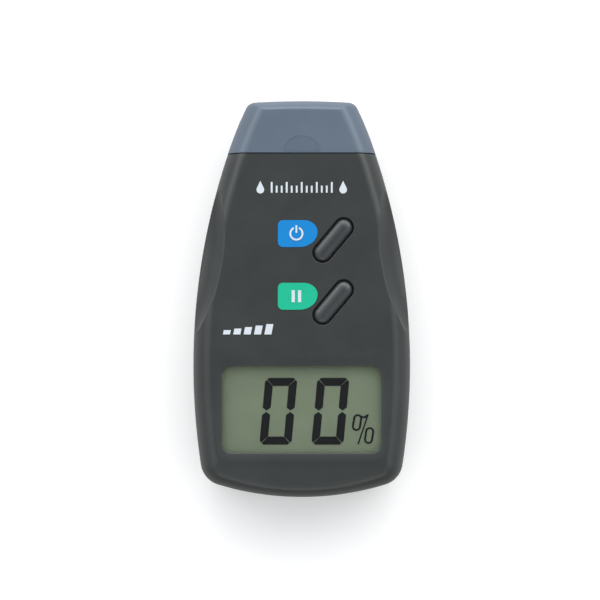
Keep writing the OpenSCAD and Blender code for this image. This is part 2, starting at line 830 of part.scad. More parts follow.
// Water drop, pointed at the top
module drop(r) {
    circle(r);
    polygon([[-r * 0.92, r * 0.4], [0, r * 2.3], [r * 0.92, r * 0.4]]);
}

// Row of drops and scale marks across the top of the face
module title_icons() {
    color("white") translate([0, title_y, meter_h]) linear_extrude(print_t) {
        for (x = [-12.4, 12.4]) translate([x, -0.7]) drop(1.15);
        for (i = [-6 : 6]) translate([i * 1.5, i % 3 == 0 ? 0 : -0.55])
            square([0.55, i % 3 == 0 ? 3.2 : 2.1], center = true);
    }
}

// Five leaning bars of a level gauge
module gauge_print() {
    color("white") translate([gauge_at.x, gauge_at.y, meter_h]) linear_extrude(print_t)
        for (i = [0 : 4]) translate([i * 3.1, -1.55])
            polygon([[0, 0], [2.1, 0], [2.1 + 0.2 * (1.3 + i * 0.45), 1.3 + i * 0.45],
                [0.2 * (1.3 + i * 0.45), 1.3 + i * 0.45]]);
}

front_case();
rear_case();
battery_door();
bay_pad();
pin_cap();
head_block();
pin_sockets();
left_pin();
right_pin();
display_window();
lcd_front_glass();
lcd_rear_glass();
lcd_digits();
lcd_reflector();
lcd_frame();
contact_strips();
main_board();
power_key();
hold_key();
power_switch();
hold_switch();
power_plunger();
hold_plunger();
controller_chip();
amplifier_chip();
chip_legs();
resistors();
ceramic_capacitors();
filter_capacitors();
trimmer();
trimmer_screw();
crystal();
battery_block();
battery_studs();
snap_connector();
snap_contacts();
red_lead();
black_lead();
electrode_leads();
case_screws();
board_screws();
power_tag();
hold_tag();
power_icon();
hold_icon();
title_icons();
gauge_print();
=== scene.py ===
import json
import math

import bmesh
import bpy
import numpy as np
from mathutils import Matrix, Vector


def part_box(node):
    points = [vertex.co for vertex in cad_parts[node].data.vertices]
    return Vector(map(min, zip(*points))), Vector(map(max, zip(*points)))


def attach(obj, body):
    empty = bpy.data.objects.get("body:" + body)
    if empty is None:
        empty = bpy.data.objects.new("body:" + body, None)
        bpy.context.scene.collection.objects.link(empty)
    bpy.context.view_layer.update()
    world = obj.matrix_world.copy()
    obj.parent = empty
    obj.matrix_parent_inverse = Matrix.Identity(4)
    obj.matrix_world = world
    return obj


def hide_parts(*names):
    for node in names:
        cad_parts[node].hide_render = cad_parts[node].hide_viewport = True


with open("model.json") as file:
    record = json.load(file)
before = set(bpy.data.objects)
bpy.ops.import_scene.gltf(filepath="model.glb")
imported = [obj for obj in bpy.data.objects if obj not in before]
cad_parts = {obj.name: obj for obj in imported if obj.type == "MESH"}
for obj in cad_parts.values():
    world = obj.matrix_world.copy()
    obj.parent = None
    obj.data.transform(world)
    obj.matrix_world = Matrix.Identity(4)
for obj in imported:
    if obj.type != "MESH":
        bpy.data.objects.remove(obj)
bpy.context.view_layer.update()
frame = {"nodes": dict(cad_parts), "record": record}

MM = 0.001


# ---- sizes, in millimetres ----

def box_mm(node):
    """Lowest and highest corner of a CAD node."""
    low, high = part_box(node)
    return np.array(low) / MM, np.array(high) / MM


def middle(node):
    low, high = box_mm(node)
    return (low + high) / 2


FRONT_LOW, FRONT_HIGH = box_mm("front_case")
CAP_LOW, CAP_HIGH = box_mm("pin_cap")
METER_W = FRONT_HIGH[0] - FRONT_LOW[0]
HALF_LEN = CAP_HIGH[1]
SEAM_Y = FRONT_HIGH[1]
PARTING_Z = FRONT_LOW[2]
FACE_Z = FRONT_HIGH[2]
CAP_Y0 = CAP_LOW[1]
WALL = 2.0
EDGE_R, CAP_EDGE_R = 0.3, 0.35  # small rounds on the moulded edges
PLAY = 1  # how far a cutter runs past what it cuts
SLIVER, LEAST = 0.01, 0.02  # keep two faces from coinciding, and a ring from closing to nothing

# plan outline
SIDE_R, WIDEST_Y, END_R, CORNER_R = 200.0, -20.0, 87.0, 7.5
SIDE_C = np.array([METER_W / 2 - SIDE_R, WIDEST_Y])
END_C = np.array([0, -HALF_LEN + END_R])
CAP_SIDE_R, CAP_SIDE_A, CAP_END_R, CAP_CORNER_R = 115.0, math.radians(18), 240.0, 3.2
CAP_HALF_W = CAP_HIGH[0]
CAP_SIDE_C = np.array([CAP_HALF_W - CAP_SIDE_R * math.cos(CAP_SIDE_A),
                       CAP_Y0 - CAP_SIDE_R * math.sin(CAP_SIDE_A)])
CAP_END_C = np.array([0, HALF_LEN - CAP_END_R])

# section through a side wall
SHOULDER_W, SHOULDER_H, FULL = 6.0, FACE_Z - PARTING_Z, 0.8
BACK_W, BACK_H = 3.5, 8.0
CAP_END_ROUND = 3.2
GROOVE_D, GROOVE_H = 0.45, 0.14  # half of the shadow line where the case halves meet
CEILING_Z = FACE_Z - 1.8
FLOOR_Z = 2.0
LIP_IN, LIP_UP, LIP_PLAY = 1.05, 1.2, 0.1  # lip on the rear half that fits in a groove of the front half
LIP_ROOT, LIP_GAP_HALF_W, LIP_GAP_LEN = 0.5, 17.4, 6  # it starts in the wall, with a gap at the neck
LIP_GROOVE_LOW, LIP_GROOVE_TOP = PARTING_Z - 1.2, PARTING_Z + 1.4
HOLLOW_ROLL = SHOULDER_W - 0.4  # how far the inside of the front half rolls inwards
LOW_INSET, LOW_TOP = 1.2, 5  # the lowest part of the inside of the rear half is narrower
RAISED_HALF_W, RAISED_Y1, RAISED_TOP = 17.6, 5.2, 3.4  # thicker floor round the bay
SHOULDER_STEPS, BACK_POINTS = 32, 17

# face below the window
SLOPE_Y, SLOPE_T = -49.6, math.tan(math.radians(14))
SLOPE_BLEND, SLOPE_SOFTEN, SLOPE_SOFT_DROP = 0.35, 0.8, 1.5

# grip scoops
SCOOP_X, SCOOP_Y, SCOOP_R, SCOOP_W, SCOOP_H = 93.9, 22.2, 70.6, 8.6, 14.0
SCOOP_WALL, SCOOP_RIM, SCOOP_SWEEP, SCOOP_BACK = 1.7, 0.6, 42, 40

# window, keys, neck
WINDOW = middle("display_window")
LENS_TOP = box_mm("display_window")[1][2]
WINDOW_W, WINDOW_H, WINDOW_CORNER = 47.7, 26.0, 2.9
POCKET_W, POCKET_H = 50.6, 31.6
RIM_R, RIM_W, RIM_DEPTH = 0.4, 2.9, 0.28
KEY_AT = [middle("power_key")[:2], middle("hold_key")[:2]]
KEY_TOP = box_mm("power_key")[1][2]
KEY_LOW = box_mm("power_key")[0][2]
KEY_R, KEY_SPAN, KEY_TURN, SLOT_GAP = 2.55, 9.86, math.radians(50 - 90), 0.5
FLANGE_EXTRA, FLANGE_T, KEY_DOME, KEY_FULL = 1.3, 0.6, 1.7, 1.25
HEAD_Z = 14.0
NECK_Y1 = box_mm("head_block")[1][1]
NECK_HALF_W, NECK_HALF_H = 15.2, 6.2
NECK_CUT_LOW = [-NECK_HALF_W, SEAM_Y - WALL - PLAY, HEAD_Z - NECK_HALF_H]
NECK_CUT_HIGH = [NECK_HALF_W, SEAM_Y + PLAY, HEAD_Z + NECK_HALF_H]
CASE_SCREWS = [(19.8, -52), (-19.8, -52), (18.2, 36.4), (-18.2, 36.4)]
BOARD_SCREWS = [(18.5, -11.2), (-18.5, -11.2), (15.5, 29.6), (-15.5, 29.6)]
BOARD_TOP = box_mm("main_board")[1][2]
POST_R, CORE_R, SCREW_BORE_R, BOARD_BORE_R = 2.3, 1.7, 1.17, 0.82
REAR_POST_R, SHANK_R, HEAD_R, HEAD_DEPTH, HEAD_EDGE_R = 3.2, 1.4, 2.7, 2.6, 0.35
POST_FOOT_Z, POST_TOP_Z, POST_ROOT = PARTING_Z + 0.4, CEILING_Z - 1, 0.5
CORE_FOOT_Z, CORE_TOP_Z = PARTING_Z + 1, CEILING_Z + 0.3  # core of a post, which runs into the ceiling
REAR_POST_TOP_Z, SCREW_BORE_TOP_Z, BOARD_BORE_TOP_Z = PARTING_Z + 0.3, 23, CEILING_Z - 0.4
POCKET_CORNER, POCKET_LOW_Z, POCKET_TOP_Z = 2.4, BOARD_TOP - 0.4, LENS_TOP + 0.05
OPENING_LOW_Z = LENS_TOP - 0.5

# ribs and thumb dish of the cap
RIB_X, RIB_HALF_W, RIB_HALF_GAP, RIB_LOW_Z, RIB_HIGH_Z = (-9, -3, 3, 9), 0.6, 6.15, 1, 27
RIB_SETBACK = 0.6
DISH_R, DISH_BACK, DISH_SLOPE, DISH_FAR_DEPTH = 6.25, 0.4, math.radians(3.6), 0.04
DISH_SOFT, DISH_RISE = 1.1, 0.45

# inside of the cap: inset at the sides, inset at the end, height
CAP_INSIDE = [(3.6, 3.2, 2.2), (2, 2, 5), (2, 2, PARTING_Z), (2.8, 2.4, 20), (4.4, 3, 24), (7, 4, 26)]

# battery bay and door
BAY_HALF_W, BAY_WALL, BAY_Y0, BAY_Y1, BAY_TOP = 13.6, 1.2, -53.6, 0.4, 20.2
DOOR_HALF_W, DOOR_T, DOOR_PLAY, TONGUE_W, TONGUE_T = 14.3, 2.0, 0.3, 1.4, 0.9
DOOR_Y1 = box_mm("battery_door")[1][1]
BAY_ROOF, LEAD_GAP_HALF_W, LEAD_GAP_Z = 1, 7, 11  # the battery's leads pass through a gap in the bay's wall
DOOR_EDGE_R, DOOR_CORNER, DOOR_HOLE_CORNER = 0.25, 0.5, 0.6
TONGUE_Y0, TONGUE_Y1, TONGUE_ROOT, TONGUE_SHORT = -56, 2.4, 0.2, 0.4
THUMB_LINES, THUMB_Y, THUMB_PITCH, THUMB_LEN, THUMB_R = 6, -48, 2.2, 15, 0.6


# ---- outlines: each is the right-hand half of a shape that is the same on both sides ----

def meet(c1, r1, c2, r2, side):
    """Meeting point of two circles, on the chosen side of the line between them."""
    away = c2 - c1
    d = np.linalg.norm(away)
    a = (r1 * r1 - r2 * r2 + d * d) / (2 * d)
    u = away / d
    return c1 + a * u + side * math.sqrt(r1 * r1 - a * a) * np.array([u[1], -u[0]])


def heading(a, b):
    return math.atan2(b[1] - a[1], b[0] - a[0])


def arc(c, r, a0, a1, n, skip=0):
    a = a0 + (a1 - a0) * np.arange(skip, n + 1) / n
    return np.stack([c[0] + r * np.cos(a), c[1] + r * np.sin(a)], 1)


CORNER_C = meet(SIDE_C, SIDE_R - CORNER_R, END_C, END_R - CORNER_R, 1)
CORNER_A0, CORNER_A1 = heading(SIDE_C, CORNER_C), heading(END_C, CORNER_C)


def body_half(d=0.0, top_y=None):
    """Body outline set in by d and cut straight at top_y."""
    top_y = SEAM_Y if top_y is None else top_y
    start = math.asin((top_y - WIDEST_Y) / (SIDE_R - d))
    return np.concatenate([
        arc(SIDE_C, SIDE_R - d, start, CORNER_A0, 80),
        arc(CORNER_C, CORNER_R - d, CORNER_A0, CORNER_A1, 24, 1),
        arc(END_C, END_R - d, CORNER_A1, -math.pi / 2, 36, 1)])


def cap_half(d=0.0, e=0.0, start_y=None):
    """Cap outline, set in by d at the sides and by e at the end."""
    start_y = CAP_Y0 if start_y is None else start_y
    r = max(CAP_CORNER_R - (d + e) / 2, 0.8)
    side_r, end_r = CAP_SIDE_R - d, CAP_END_R - e
    c = meet(CAP_SIDE_C, side_r - r, CAP_END_C, end_r - r, -1)
    a0, a1 = heading(CAP_SIDE_C, c), heading(CAP_END_C, c)
    return np.concatenate([
        arc(CAP_SIDE_C, side_r, math.asin((start_y - CAP_SIDE_C[1]) / side_r), a0, 24),
        arc(c, r, a0, a1, 14, 1),
        arc(CAP_END_C, end_r, a1, math.pi / 2, 24, 1)])


def round_half(w, h, r, n=12):
    """Rectangle w by h with corner radius r, round the origin."""
    r = min(r, w / 2, h / 2)
    x, y = w / 2 - r, h / 2 - r
    side = np.stack([np.full(7, w / 2), np.linspace(y, -y, 7)], 1)[1:-1]
    return np.concatenate([
        [[0, h / 2]], arc((x, y), r, math.pi / 2, 0, n), side,
        arc((x, -y), r, 0, -math.pi / 2, n), [[0, -h / 2]]])


def under_slope(z, y):
    """z, kept under the plane that slopes away below the window. The crease softens down the slope."""
    plane = FACE_Z + SLOPE_T * (y - SLOPE_Y)
    blend = SLOPE_BLEND + SLOPE_SOFTEN * np.clip(FACE_Z - plane, 0, SLOPE_SOFT_DROP)
    near = np.maximum(blend - np.abs(plane - z), 0)
    return np.minimum(z, plane) - near ** 2 / (4 * blend)


# ---- meshes ----

def mesh_object(name, bm):
    bmesh.ops.remove_doubles(bm, verts=bm.verts, dist=2e-7)
    bmesh.ops.dissolve_degenerate(bm, edges=bm.edges, dist=1e-7)
    bmesh.ops.recalc_face_normals(bm, faces=bm.faces)
    mesh = bpy.data.meshes.new(name)
    bm.to_mesh(mesh)
    bm.free()
    obj = bpy.data.objects.new(name, mesh)
    bpy.context.scene.collection.objects.link(obj)
    return obj


def solid(name, rings, heights, matrix=None):
    """Closed solid through rings of right-hand half outlines, mirrored to the left. heights has one
    value a ring, or one a point."""
    bm = bmesh.new()
    k, n = len(rings), len(rings[0])
    heights = np.asarray(heights, float)
    heights = np.repeat(heights[:, None], n, 1) if heights.ndim == 1 else heights
    right, left = [], []
    for ring, z in zip(rings, heights):
        right.append([bm.verts.new(Vector((p[0], p[1], h)) * MM) for p, h in zip(ring, z)])
        left.append([bm.verts.new(Vector((-p[0], p[1], h)) * MM) for p, h in zip(ring, z)])
    for a in range(k - 1):
        for i in range(n - 1):
            for half in (right, left):
                bm.faces.new((half[a][i], half[a][i + 1], half[a + 1][i + 1], half[a + 1][i]))
        for i in (0, n - 1):
            if abs(rings[a][i][0]) > 1e-9:
                bm.faces.new((right[a][i], right[a + 1][i], left[a + 1][i], left[a][i]))
    for a in (0, k - 1):
        for i in range(n - 1):
            bm.faces.new((right[a][i], right[a][i + 1], left[a][i + 1], left[a][i]))
    if matrix is not None:
        bmesh.ops.transform(bm, matrix=matrix, verts=bm.verts)
    return mesh_object(name, bm)


def spot(x, y, z=0.0, turn=0.0):
    return Matrix.Translation(Vector((x, y, z)) * MM) @ Matrix.Rotation(turn, 4, "Z")


def block(low, high):
    bm = bmesh.new()
    low, high = np.array(low, float) * MM, np.array(high, float) * MM
    bmesh.ops.create_cube(bm, size=1)
    for v in bm.verts:
        v.co = Vector(low + (np.array(v.co) + 0.5) * (high - low))
    return mesh_object("block", bm)


def body_prism(d, z0, z1, top_y=None):
    ring = body_half(d, top_y)
    return solid("prism", [ring, ring], [z0, z1])


def pillar(at, profile, n=12):
    """Solid of circles [radius, height] round a vertical line."""
    return solid("pillar", [round_half(2 * r, 2 * r, r, n) for r, _ in profile], [z for _, z in profile],
                 spot(*at))


def slab(at, w, h, r, profile, turn=0.0):
    """Solid of rounded rectangles, each set in by its own inset: profile is [inset, height]."""
    return solid("slab", [round_half(w - 2 * d, h - 2 * d, max(r - d, 0.05)) for d, _ in profile],
                 [z for _, z in profile], spot(at[0], at[1], 0, turn))


def flare(z_face, r, steps=5):
    """Profile [inset, height] of a rounded rim of radius r under a face, for a cutter that widens upwards."""
    t = np.linspace(0, math.pi / 2, steps + 1)
    rim = [(-r * (1 - math.cos(a)), z_face - r + r * math.sin(a)) for a in t]
    return rim + [(-r, z_face + 1)]


def flare_down(z_face, r, steps=5):
    """The same rim, for a cutter that widens downwards."""
    return [(d, 2 * z_face - z) for d, z in reversed(flare(z_face, r, steps))]


def scoop(side, grow=0.0, rim=0.0):
    """Cutter for a grip scoop: an arc swept round a vertical line beside the body. grow makes it larger
    all over, and rim rounds its edge at the face."""
    steps = 22
    top = FACE_Z - rim
    profile = [(SCOOP_R - SCOOP_BACK, FACE_Z + 2), (SCOOP_R + rim + grow, FACE_Z + 2)]
    if rim:
        profile += [(SCOOP_R + rim * (1 - math.cos(a)), top + rim * math.sin(a))
                    for a in np.linspace(math.pi / 2, 0, 7)[:-1]]
    for i in range(steps + 1):
        a = math.pi / 2 * i / steps
        profile.append((SCOOP_R - SCOOP_W + (SCOOP_W + grow) * math.cos(a),
                        top - (SCOOP_H - rim + grow) * math.sin(a)))
    profile.append((SCOOP_R - SCOOP_BACK, FACE_Z - SCOOP_H - grow))
    bm = bmesh.new()
    rings = []
    for a in np.radians(np.linspace(180 - SCOOP_SWEEP, 180 + SCOOP_SWEEP, 141)):
        rings.append([bm.verts.new(Vector((side * (SCOOP_X + r * math.cos(a)),
                                           SCOOP_Y + r * math.sin(a), z)) * MM) for r, z in profile])
    n = len(profile)
    for a, b in zip(rings, rings[1:]):
        for i in range(n):
            bm.faces.new((a[i], a[(i + 1) % n], b[(i + 1) % n], b[i]))
    bm.faces.new(rings[0])
    bm.faces.new(rings[-1])
    return mesh_object("scoop", bm)


def evaluated(obj):
    graph = bpy.context.evaluated_depsgraph_get()
    return bpy.data.meshes.new_from_object(obj.evaluated_get(graph), depsgraph=graph)


def settle(obj):
    """Applies the modifiers of an object."""
    mesh = evaluated(obj)
    obj.modifiers.clear()
    old, obj.data = obj.data, mesh
    bpy.data.meshes.remove(old)
    return obj


def combine(obj, others, operation="DIFFERENCE"):
    """Boolean of obj with each of the others, which are used up."""
    for other in others:
        m = obj.modifiers.new("cut", "BOOLEAN")
        m.operation, m.object, m.solver = operation, other, "MANIFOLD"
    settle(obj)
    for other in others:
        mesh = other.data
        bpy.data.objects.remove(other)
        bpy.data.meshes.remove(mesh)
    return obj


def round_edges(obj, width, angle=40, segments=3):
    m = obj.modifiers.new("bevel", "BEVEL")
    m.width, m.segments, m.limit_method, m.angle_limit = width * MM, segments, "ANGLE", math.radians(angle)
    m.use_clamp_overlap = True
    return settle(obj)


def finish(obj, name, body, nodes, material, angle=32):
    """Smooth shading with creases kept, then the frame's facts about the piece."""
    mesh = obj.data
    bm = bmesh.new()
    bm.from_mesh(mesh)
    bmesh.ops.remove_doubles(bm, verts=bm.verts, dist=1e-7)
    bmesh.ops.dissolve_degenerate(bm, edges=bm.edges, dist=1e-7)
    for f in bm.faces:
        f.smooth = True
    for e in bm.edges:
        e.smooth = e.calc_face_angle(0) < math.radians(angle)
    bm.to_mesh(mesh)
    bm.free()
    weighted = obj.modifiers.new("normals", "WEIGHTED_NORMAL")
    weighted.keep_sharp = True
    mesh.materials.clear()
    mesh.materials.append(material)
    obj.name = mesh.name = name
    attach(obj, body)
    if nodes:
        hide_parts(*nodes)
    return obj


# ---- materials ----

class Nodes:
    """Small helper that adds nodes to one material."""

    def __init__(self, name):
        self.material = bpy.data.materials.new(name)
        self.material.use_nodes = True
        self.tree = self.material.node_tree
        self.tree.nodes.clear()
        self.out = self.tree.nodes.new("ShaderNodeOutputMaterial")
        self.place = self.tree.nodes.new("ShaderNodeTexCoord").outputs["Object"]

    def add(self, kind, inputs=None, **settings):
        node = self.tree.nodes.new(kind)
        for key, value in settings.items():
            setattr(node, key, value)
        for key, value in (inputs or {}).items():
            if isinstance(value, bpy.types.NodeSocket):
                self.tree.links.new(value, node.inputs[key])
            else:
                node.inputs[key].default_value = value
        return node

    def stretched(self, scale):
        return self.add("ShaderNodeMapping", {"Vector": self.place, "Scale": scale}).outputs["Vector"]

    def noise(self, scale, detail=2.0, roughness=0.5, vector=None):
        return self.add("ShaderNodeTexNoise", {"Vector": vector or self.place, "Scale": scale,
                                               "Detail": detail, "Roughness": roughness}).outputs["Fac"]

    def ramp(self, fac, stops):
        node = self.add("ShaderNodeValToRGB", {"Fac": fac})
        ramp = node.color_ramp
        while len(ramp.elements) < len(stops):
            ramp.elements.new(0.5)
        for element, (at, colour) in zip(ramp.elements, stops):
            element.position, element.color = at, (*colour, 1)
        return node.outputs["Color"]

    def span(self, fac, low, high, start=0.3, end=0.7):
        """Maps fac from start..end to low..high."""
        return self.add("ShaderNodeMapRange", {"Value": fac, "From Min": start, "From Max": end,
                                               "To Min": low, "To Max": high}).outputs["Result"]

    def bump(self, height, strength, distance, normal=None):
        inputs = {"Height": height, "Strength": strength, "Distance": distance * MM}
        if normal is not None:
            inputs["Normal"] = normal
        return self.add("ShaderNodeBump", inputs).outputs["Normal"]

    def principled(self, inputs):
        shader = self.add("ShaderNodeBsdfPrincipled", inputs)
        self.tree.links.new(shader.outputs["BSDF"], self.out.inputs["Surface"])
        return self.material


def shade(colour, factor):
    return tuple(c * factor for c in colour)


def plastic(name, colour, rough, grain=0.3, grain_size=0.3, depth=0.02, vary=0.12, spec=0.5, extra=None):
    """Moulded plastic: slight mottling, fine grain in gloss and relief. Sizes in millimetres."""
    n = Nodes(name)
    mottle = n.noise(90, 3)
    fine = n.noise(1000 / grain_size, 2, 0.6)
    base = n.ramp(mottle, [(0.3, shade(colour, 1 - vary)), (0.7, shade(colour, 1 + vary))])
    wet = n.span(fine, rough - 0.06, rough + 0.06)
    inputs = {"Base Color": base, "Roughness": wet, "Normal": n.bump(fine, grain, depth),
              "Specular IOR Level": spec}
    inputs.update(extra or {})
    return n.principled(inputs)


def metal(name, colour, rough, brushed=(1, 1, 1), grain=0.2):
    n = Nodes(name)
    lines = n.noise(1500, 2, 0.6, n.stretched(brushed))
    stain = n.noise(300, 3)
    return n.principled({
        "Base Color": n.ramp(stain, [(0.3, shade(colour, 0.85)), (0.7, colour)]),
        "Metallic": 1.0, "Roughness": n.span(lines, rough - 0.08, rough + 0.1),
        "Normal": n.bump(lines, grain, 0.01)})


PANE_SLANT = 0.22  # how much a coated pane mirrors at the flattest slant


def pane(name, tint, rough, mirror):
    """Clear sheet with an anti-glare coat: lets what is behind show, tinted, and mirrors more at a slant."""
    n = Nodes(name)
    smear = n.noise(140, 3)
    body = n.ramp(smear, [(0.3, shade(tint, 0.98)), (0.7, tint)])
    clear = n.add("ShaderNodeBsdfTransparent", {"Color": body})
    gloss = n.add("ShaderNodeBsdfGlossy", {"Color": (1, 1, 1, 1),
                                           "Roughness": n.span(smear, rough, rough + 0.05)})
    slant = n.add("ShaderNodeLayerWeight", {"Blend": 0.5}).outputs["Facing"]
    steep = n.add("ShaderNodeMath", {0: slant, 1: 5.0}, operation="POWER").outputs[0]
    share = n.add("ShaderNodeMath", {0: steep, 1: PANE_SLANT, 2: mirror}, operation="MULTIPLY_ADD").outputs[0]
    mix = n.add("ShaderNodeMixShader", {0: share, 1: clear.outputs[0], 2: gloss.outputs[0]})
    n.tree.links.new(mix.outputs[0], n.out.inputs["Surface"])
    return n.material


def board_material():
    """Green solder mask over copper traces."""
    n = Nodes("board")
    low = n.add("ShaderNodeTexBrick", {"Vector": n.place, "Scale": 260.0, "Mortar Size": 0.012,
                                       "Color1": (0.012, 0.10, 0.04, 1), "Color2": (0.016, 0.12, 0.05, 1),
                                       "Mortar": (0.035, 0.2, 0.09, 1)})
    rough = n.span(n.noise(500), 0.3, 0.42)
    return n.principled({"Base Color": low.outputs["Color"], "Roughness": rough,
                         "Normal": n.bump(low.outputs["Fac"], 0.3, 0.03)})


CASE = (0.024, 0.028, 0.0275)
CAP = (0.086, 0.116, 0.155)
MATERIALS = {
    "case_plastic": plastic("case_plastic", CASE, 0.42),
    "cap_plastic": plastic("cap_plastic", CAP, 0.42, grain=0.2, vary=0.05),
    "key_plastic": plastic("key_plastic", (0.030, 0.034, 0.037), 0.36, grain=0.15, vary=0.08),
    "window_clear": pane("window_clear", (0.975, 0.985, 0.975), 0.03, 0.02),
    "lcd_glass": plastic("lcd_glass", (0.166, 0.197, 0.140), 0.35, grain=0.03, vary=0.04, spec=0.1),
    "lcd_segments": plastic("lcd_segments", (0.008, 0.008, 0.010), 0.45, grain=0.03, spec=0.08),
    "lcd_back": plastic("lcd_back", (0.27, 0.30, 0.24), 0.6, grain=0.1, vary=0.03),
    "black_plastic": plastic("black_plastic", (0.014, 0.014, 0.015), 0.42),
    "rubber": plastic("rubber", (0.02, 0.02, 0.021), 0.8, grain=0.8, grain_size=0.5, depth=0.08),
    "board": board_material(),
    "chip": plastic("chip", (0.012, 0.012, 0.013), 0.5, grain=0.4, grain_size=0.15),
    "ceramic": plastic("ceramic", (0.32, 0.22, 0.13), 0.4, grain=0.2),
    "tin": metal("tin", (0.72, 0.71, 0.69), 0.3),
    "brass": metal("brass", (0.75, 0.55, 0.24), 0.28),
    "steel": metal("steel", (0.66, 0.66, 0.67), 0.24, (1, 0.04, 1)),
    "screw_steel": metal("screw_steel", (0.45, 0.45, 0.46), 0.34),
    "capacitor_sleeve": plastic("capacitor_sleeve", (0.02, 0.03, 0.12), 0.3, grain=0.1),
    "trimmer_blue": plastic("trimmer_blue", (0.03, 0.10, 0.38), 0.38),
    "plunger": plastic("plunger", (0.55, 0.52, 0.44), 0.5),
    "battery_can": metal("battery_can", (0.20, 0.20, 0.22), 0.38, (1, 0.05, 1)),
    "red_wire": plastic("red_wire", (0.42, 0.02, 0.015), 0.42, grain=0.15),
    "black_wire": plastic("black_wire", (0.012, 0.012, 0.012), 0.42, grain=0.15),
    "white_wire": plastic("white_wire", (0.68, 0.68, 0.66), 0.42, grain=0.15),
    "tag_blue": plastic("tag_blue", (0.003, 0.185, 0.50), 0.45, grain=0.12, vary=0.05, spec=0.3),
    "tag_green": plastic("tag_green", (0.008, 0.40, 0.235), 0.45, grain=0.12, vary=0.05, spec=0.3),
    "white_print": plastic("white_print", (0.54, 0.59, 0.64), 0.5, grain=0.12, vary=0.04),
}
for part in frame["record"]["subparts"]:
    node = frame["nodes"][part["node"]]
    node.data.materials.clear()
    node.data.materials.append(MATERIALS[part["material_slot"]])


# ---- case ----

def quarter(width, height, base, n):
    """Points [inset, height] of a section that starts upright and rolls over, fuller than an ellipse."""
    t = np.linspace(0, math.pi / 2, n + 1)
    return [(width * (1 - math.cos(a)), base + height * math.sin(a) ** FULL) for a in t]


def window_rim():
    """Profile [inset, height] of the display opening: a rounded edge, then a shallow dish round it."""
    edge = flare(FACE_Z - RIM_DEPTH, RIM_R)[:-1]
    u = np.linspace(0, 1, 9)[1:]
    dish = [(-RIM_R - (RIM_W - RIM_R) * t, FACE_Z + SLIVER - RIM_DEPTH * (1 - t) ** 1.5) for t in u]
    return edge + dish + [(-RIM_W, FACE_Z + 1)]


def front_shell():
    section = quarter(SHOULDER_W, SHOULDER_H, PARTING_Z, SHOULDER_STEPS)
    rings = [body_half(d) for d, _ in section]
    heights = [under_slope(z, ring[:, 1]) for ring, (_, z) in zip(rings, section)]
    shell = round_edges(solid("front", rings, heights), EDGE_R)
    hollow = [(WALL + HOLLOW_ROLL * (1 - math.cos(t)),
               PARTING_Z + (CEILING_Z - PARTING_Z) * math.sin(t)) for t in np.linspace(0, math.pi / 2, 15)]
    hollow = [(WALL, PARTING_Z - PLAY)] + hollow
    cavity = solid("cavity", [body_half(d, SEAM_Y - WALL) for d, _ in hollow], [z for _, z in hollow])
    groove = body_prism(LIP_IN - LIP_PLAY, LIP_GROOVE_LOW, LIP_GROOVE_TOP, SEAM_Y - LIP_IN)
    combine(cavity, [groove], "UNION")
    combine(cavity, [scoop(s, SCOOP_WALL) for s in (-1, 1)])
    combine(shell, [cavity])
    posts = [pillar(at, [(POST_R, POST_FOOT_Z), (POST_R, POST_TOP_Z)]) for at in CASE_SCREWS]
    posts += [pillar(at, [(CORE_R, CORE_FOOT_Z), (CORE_R, CORE_TOP_Z)]) for at in CASE_SCREWS]
    posts += [pillar(at, [(POST_R, BOARD_TOP), (POST_R, CORE_TOP_Z)]) for at in BOARD_SCREWS]
    combine(shell, posts, "UNION")
    holes = [pillar(at, [(SCREW_BORE_R, PARTING_Z - PLAY), (SCREW_BORE_R, SCREW_BORE_TOP_Z)])
             for at in CASE_SCREWS]
    holes += [pillar(at, [(BOARD_BORE_R, BOARD_TOP - PLAY), (BOARD_BORE_R, BOARD_BORE_TOP_Z)])
              for at in BOARD_SCREWS]
    holes.append(slab(WINDOW, POCKET_W, POCKET_H, POCKET_CORNER, [(0, POCKET_LOW_Z), (0, POCKET_TOP_Z)]))
    holes.append(slab(WINDOW, WINDOW_W, WINDOW_H, WINDOW_CORNER, [(0, OPENING_LOW_Z)] + window_rim()))
    slot_w = 2 * (KEY_R + SLOT_GAP)
    slot_side = [(0, CEILING_Z - PLAY)] + flare(FACE_Z, EDGE_R)
    holes += [slab(at, slot_w, slot_w + KEY_SPAN, slot_w / 2, slot_side, KEY_TURN) for at in KEY_AT]
    holes.append(block(NECK_CUT_LOW, NECK_CUT_HIGH))
    holes += [scoop(s, rim=SCOOP_RIM) for s in (-1, 1)]
    holes.append(parting_groove(PARTING_Z - PLAY, PARTING_Z + GROOVE_H))
    return combine(shell, holes)


def parting_groove(z0, z1):
    """Cutter for half of the shadow line where the case halves meet."""
    return combine(body_prism(-PLAY, z0, z1, SEAM_Y + PLAY), [body_prism(GROOVE_D, z0 - PLAY, z1 + PLAY)])


def outer_back():
    section = [(BACK_W * (1 - math.cos(t)), BACK_H * (1 - math.sin(t)))
               for t in np.linspace(math.pi / 2, 0, BACK_POINTS)] + [(0, PARTING_Z)]
    return solid("back", [body_half(d) for d, _ in section], [z for _, z in section])


def near_end_slab(half_w, y1, r, profile):
    """Slab from y1 to well past the near end of the meter."""
    length = 2 * (y1 + HALF_LEN) + 10
    return slab((0, y1 - length / 2), 2 * half_w, length, r, profile)


